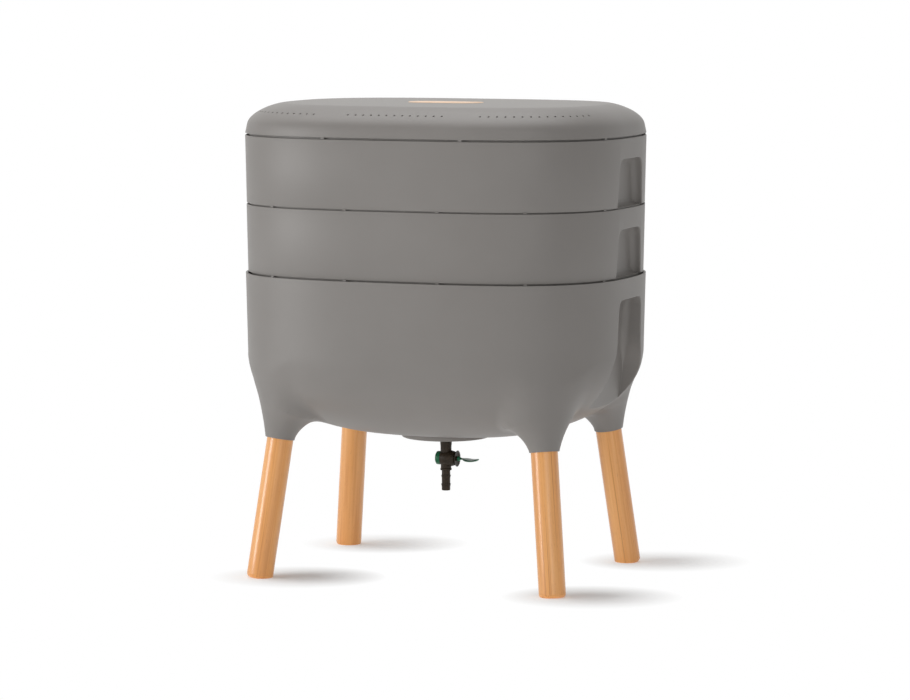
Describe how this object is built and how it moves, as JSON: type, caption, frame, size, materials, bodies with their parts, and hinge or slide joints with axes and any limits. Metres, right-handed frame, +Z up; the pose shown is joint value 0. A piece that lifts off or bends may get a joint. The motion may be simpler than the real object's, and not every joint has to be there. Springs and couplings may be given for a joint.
{
  "type": "wormery",
  "caption": "Indoor wormery: a moulded sump with a drain tap on splayed wooden legs, stacked working trays with perforated floors, and a vented domed lid.",
  "frame": {"origin": "on the floor, midway between the feet, under the middle of the tub", "axes": "+Z up, X along the long side with the hand-holds at both ends, -Y the front; the tap's key points to +X"},
  "size_m": [0.51, 0.384, 0.6143],
  "materials": {
    "grey_plastic": "fine satin texture, warm grey",
    "beech": "lacquered beech",
    "dark_plastic": "satin, brown black",
    "green_plastic": "semi-gloss green",
    "black_rubber": "matt",
    "zinc_steel": "zinc plated"
  },
  "bodies": {
    "base": {"base_tub": "grey_plastic", "leg_front_left": "beech", "leg_front_right": "beech", "leg_back_left": "beech", "leg_back_right": "beech", "leg_screw_front_left": "zinc_steel", "leg_screw_front_right": "zinc_steel", "leg_screw_back_left": "zinc_steel", "leg_screw_back_right": "zinc_steel", "screw_seal_front_left": "black_rubber", "screw_seal_front_right": "black_rubber", "screw_seal_back_left": "black_rubber", "screw_seal_back_right": "black_rubber", "tap_body": "dark_plastic", "tap_gland": "dark_plastic", "tap_outer_washer": "black_rubber", "tap_inner_washer": "black_rubber", "tap_locknut": "dark_plastic"},
    "tap_turning": {"tap_plug": "dark_plastic", "tap_ring_inner": "black_rubber", "tap_ring_outer": "black_rubber", "tap_end_cap": "green_plastic", "tap_key": "green_plastic"},
    "lower_tray": {"lower_tray": "grey_plastic"},
    "upper_tray": {"upper_tray": "grey_plastic"},
    "lid": {"lid": "grey_plastic", "lid_plaque": "beech"}
  },
  "joints": [
    {"name": "tap_turn", "type": "hinge", "parent": "base", "child": "tap_turning", "pos_m": [0, 0, 0.1475], "axis": [1, 0, 0], "range_deg": [0, 90]},
    {"name": "lower_tray_lift", "type": "slide", "parent": "base", "child": "lower_tray", "axis": [0, 0, 1], "range_m": [0, 0.15]},
    {"name": "upper_tray_lift", "type": "slide", "parent": "lower_tray", "child": "upper_tray", "axis": [0, 0, 1], "range_m": [0, 0.15]},
    {"name": "lid_lift", "type": "slide", "parent": "upper_tray", "child": "lid", "axis": [0, 0, 1], "range_m": [0, 0.15]}
  ]
}
